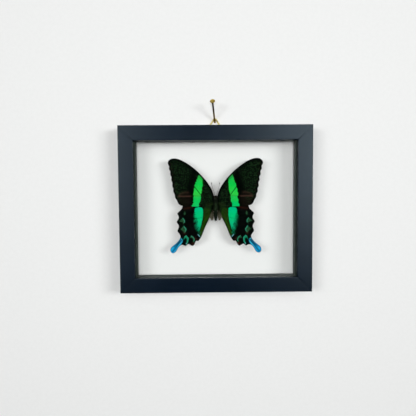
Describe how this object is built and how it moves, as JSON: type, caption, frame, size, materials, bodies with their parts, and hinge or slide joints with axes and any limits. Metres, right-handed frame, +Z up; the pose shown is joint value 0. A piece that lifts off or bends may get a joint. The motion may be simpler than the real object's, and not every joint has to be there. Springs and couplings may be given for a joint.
{
  "type": "framed butterfly specimen",
  "caption": "Spread swallowtail butterfly floating between glass panes in a dark mitred wooden frame that hangs by a brass ring on a nail.",
  "frame": {"origin": "where the nail enters the wall, on the wall's surface", "axes": "+Z up, +Y into the wall, so the glass front faces -Y; x = 0 is the butterfly's plane of symmetry"},
  "size_m": [0.21, 0.0354, 0.2101],
  "materials": {
    "painted_wood": "satin blue-black paint",
    "retainer_wood": "satin blue-black paint",
    "spacer_wood": "matte grey paint",
    "clear_glass": "clear and polished",
    "forewing_scales": "dry scales, black dusted with green, with an iridescent green band",
    "hindwing_scales": "dry scales, black dusted with green, with an iridescent teal band and blue tails",
    "insect_body": "dry chitin with short dark hair",
    "clear_glue": "clear hardened glue",
    "strap_brass": "polished, slightly dulled",
    "screw_brass": "polished, slightly dulled",
    "ring_brass": "polished",
    "nail_brass": "polished, slightly dulled"
  },
  "bodies": {
    "wall_hanger": {"hanging_nail": "nail_brass", "hanger_ring": "ring_brass"},
    "framed_specimen": {"frame_top": "painted_wood", "frame_bottom": "painted_wood", "frame_left": "painted_wood", "frame_right": "painted_wood", "front_glass": "clear_glass", "back_glass": "clear_glass", "spacer_top": "spacer_wood", "spacer_bottom": "spacer_wood", "spacer_left": "spacer_wood", "spacer_right": "spacer_wood", "retainer_top": "retainer_wood", "retainer_bottom": "retainer_wood", "retainer_left": "retainer_wood", "retainer_right": "retainer_wood", "forewing_left": "forewing_scales", "hindwing_left": "hindwing_scales", "forewing_right": "forewing_scales", "hindwing_right": "hindwing_scales", "butterfly_body": "insect_body", "glue_bead": "clear_glue", "hanger_strap": "strap_brass", "hanger_screw": "screw_brass"}
  },
  "joints": [
    {"name": "frame_swing", "type": "hinge", "parent": "wall_hanger", "child": "framed_specimen", "pos_m": [0, -0.00225, -0.0083], "axis": [-1, 0, 0], "range_deg": [0, 24]}
  ]
}
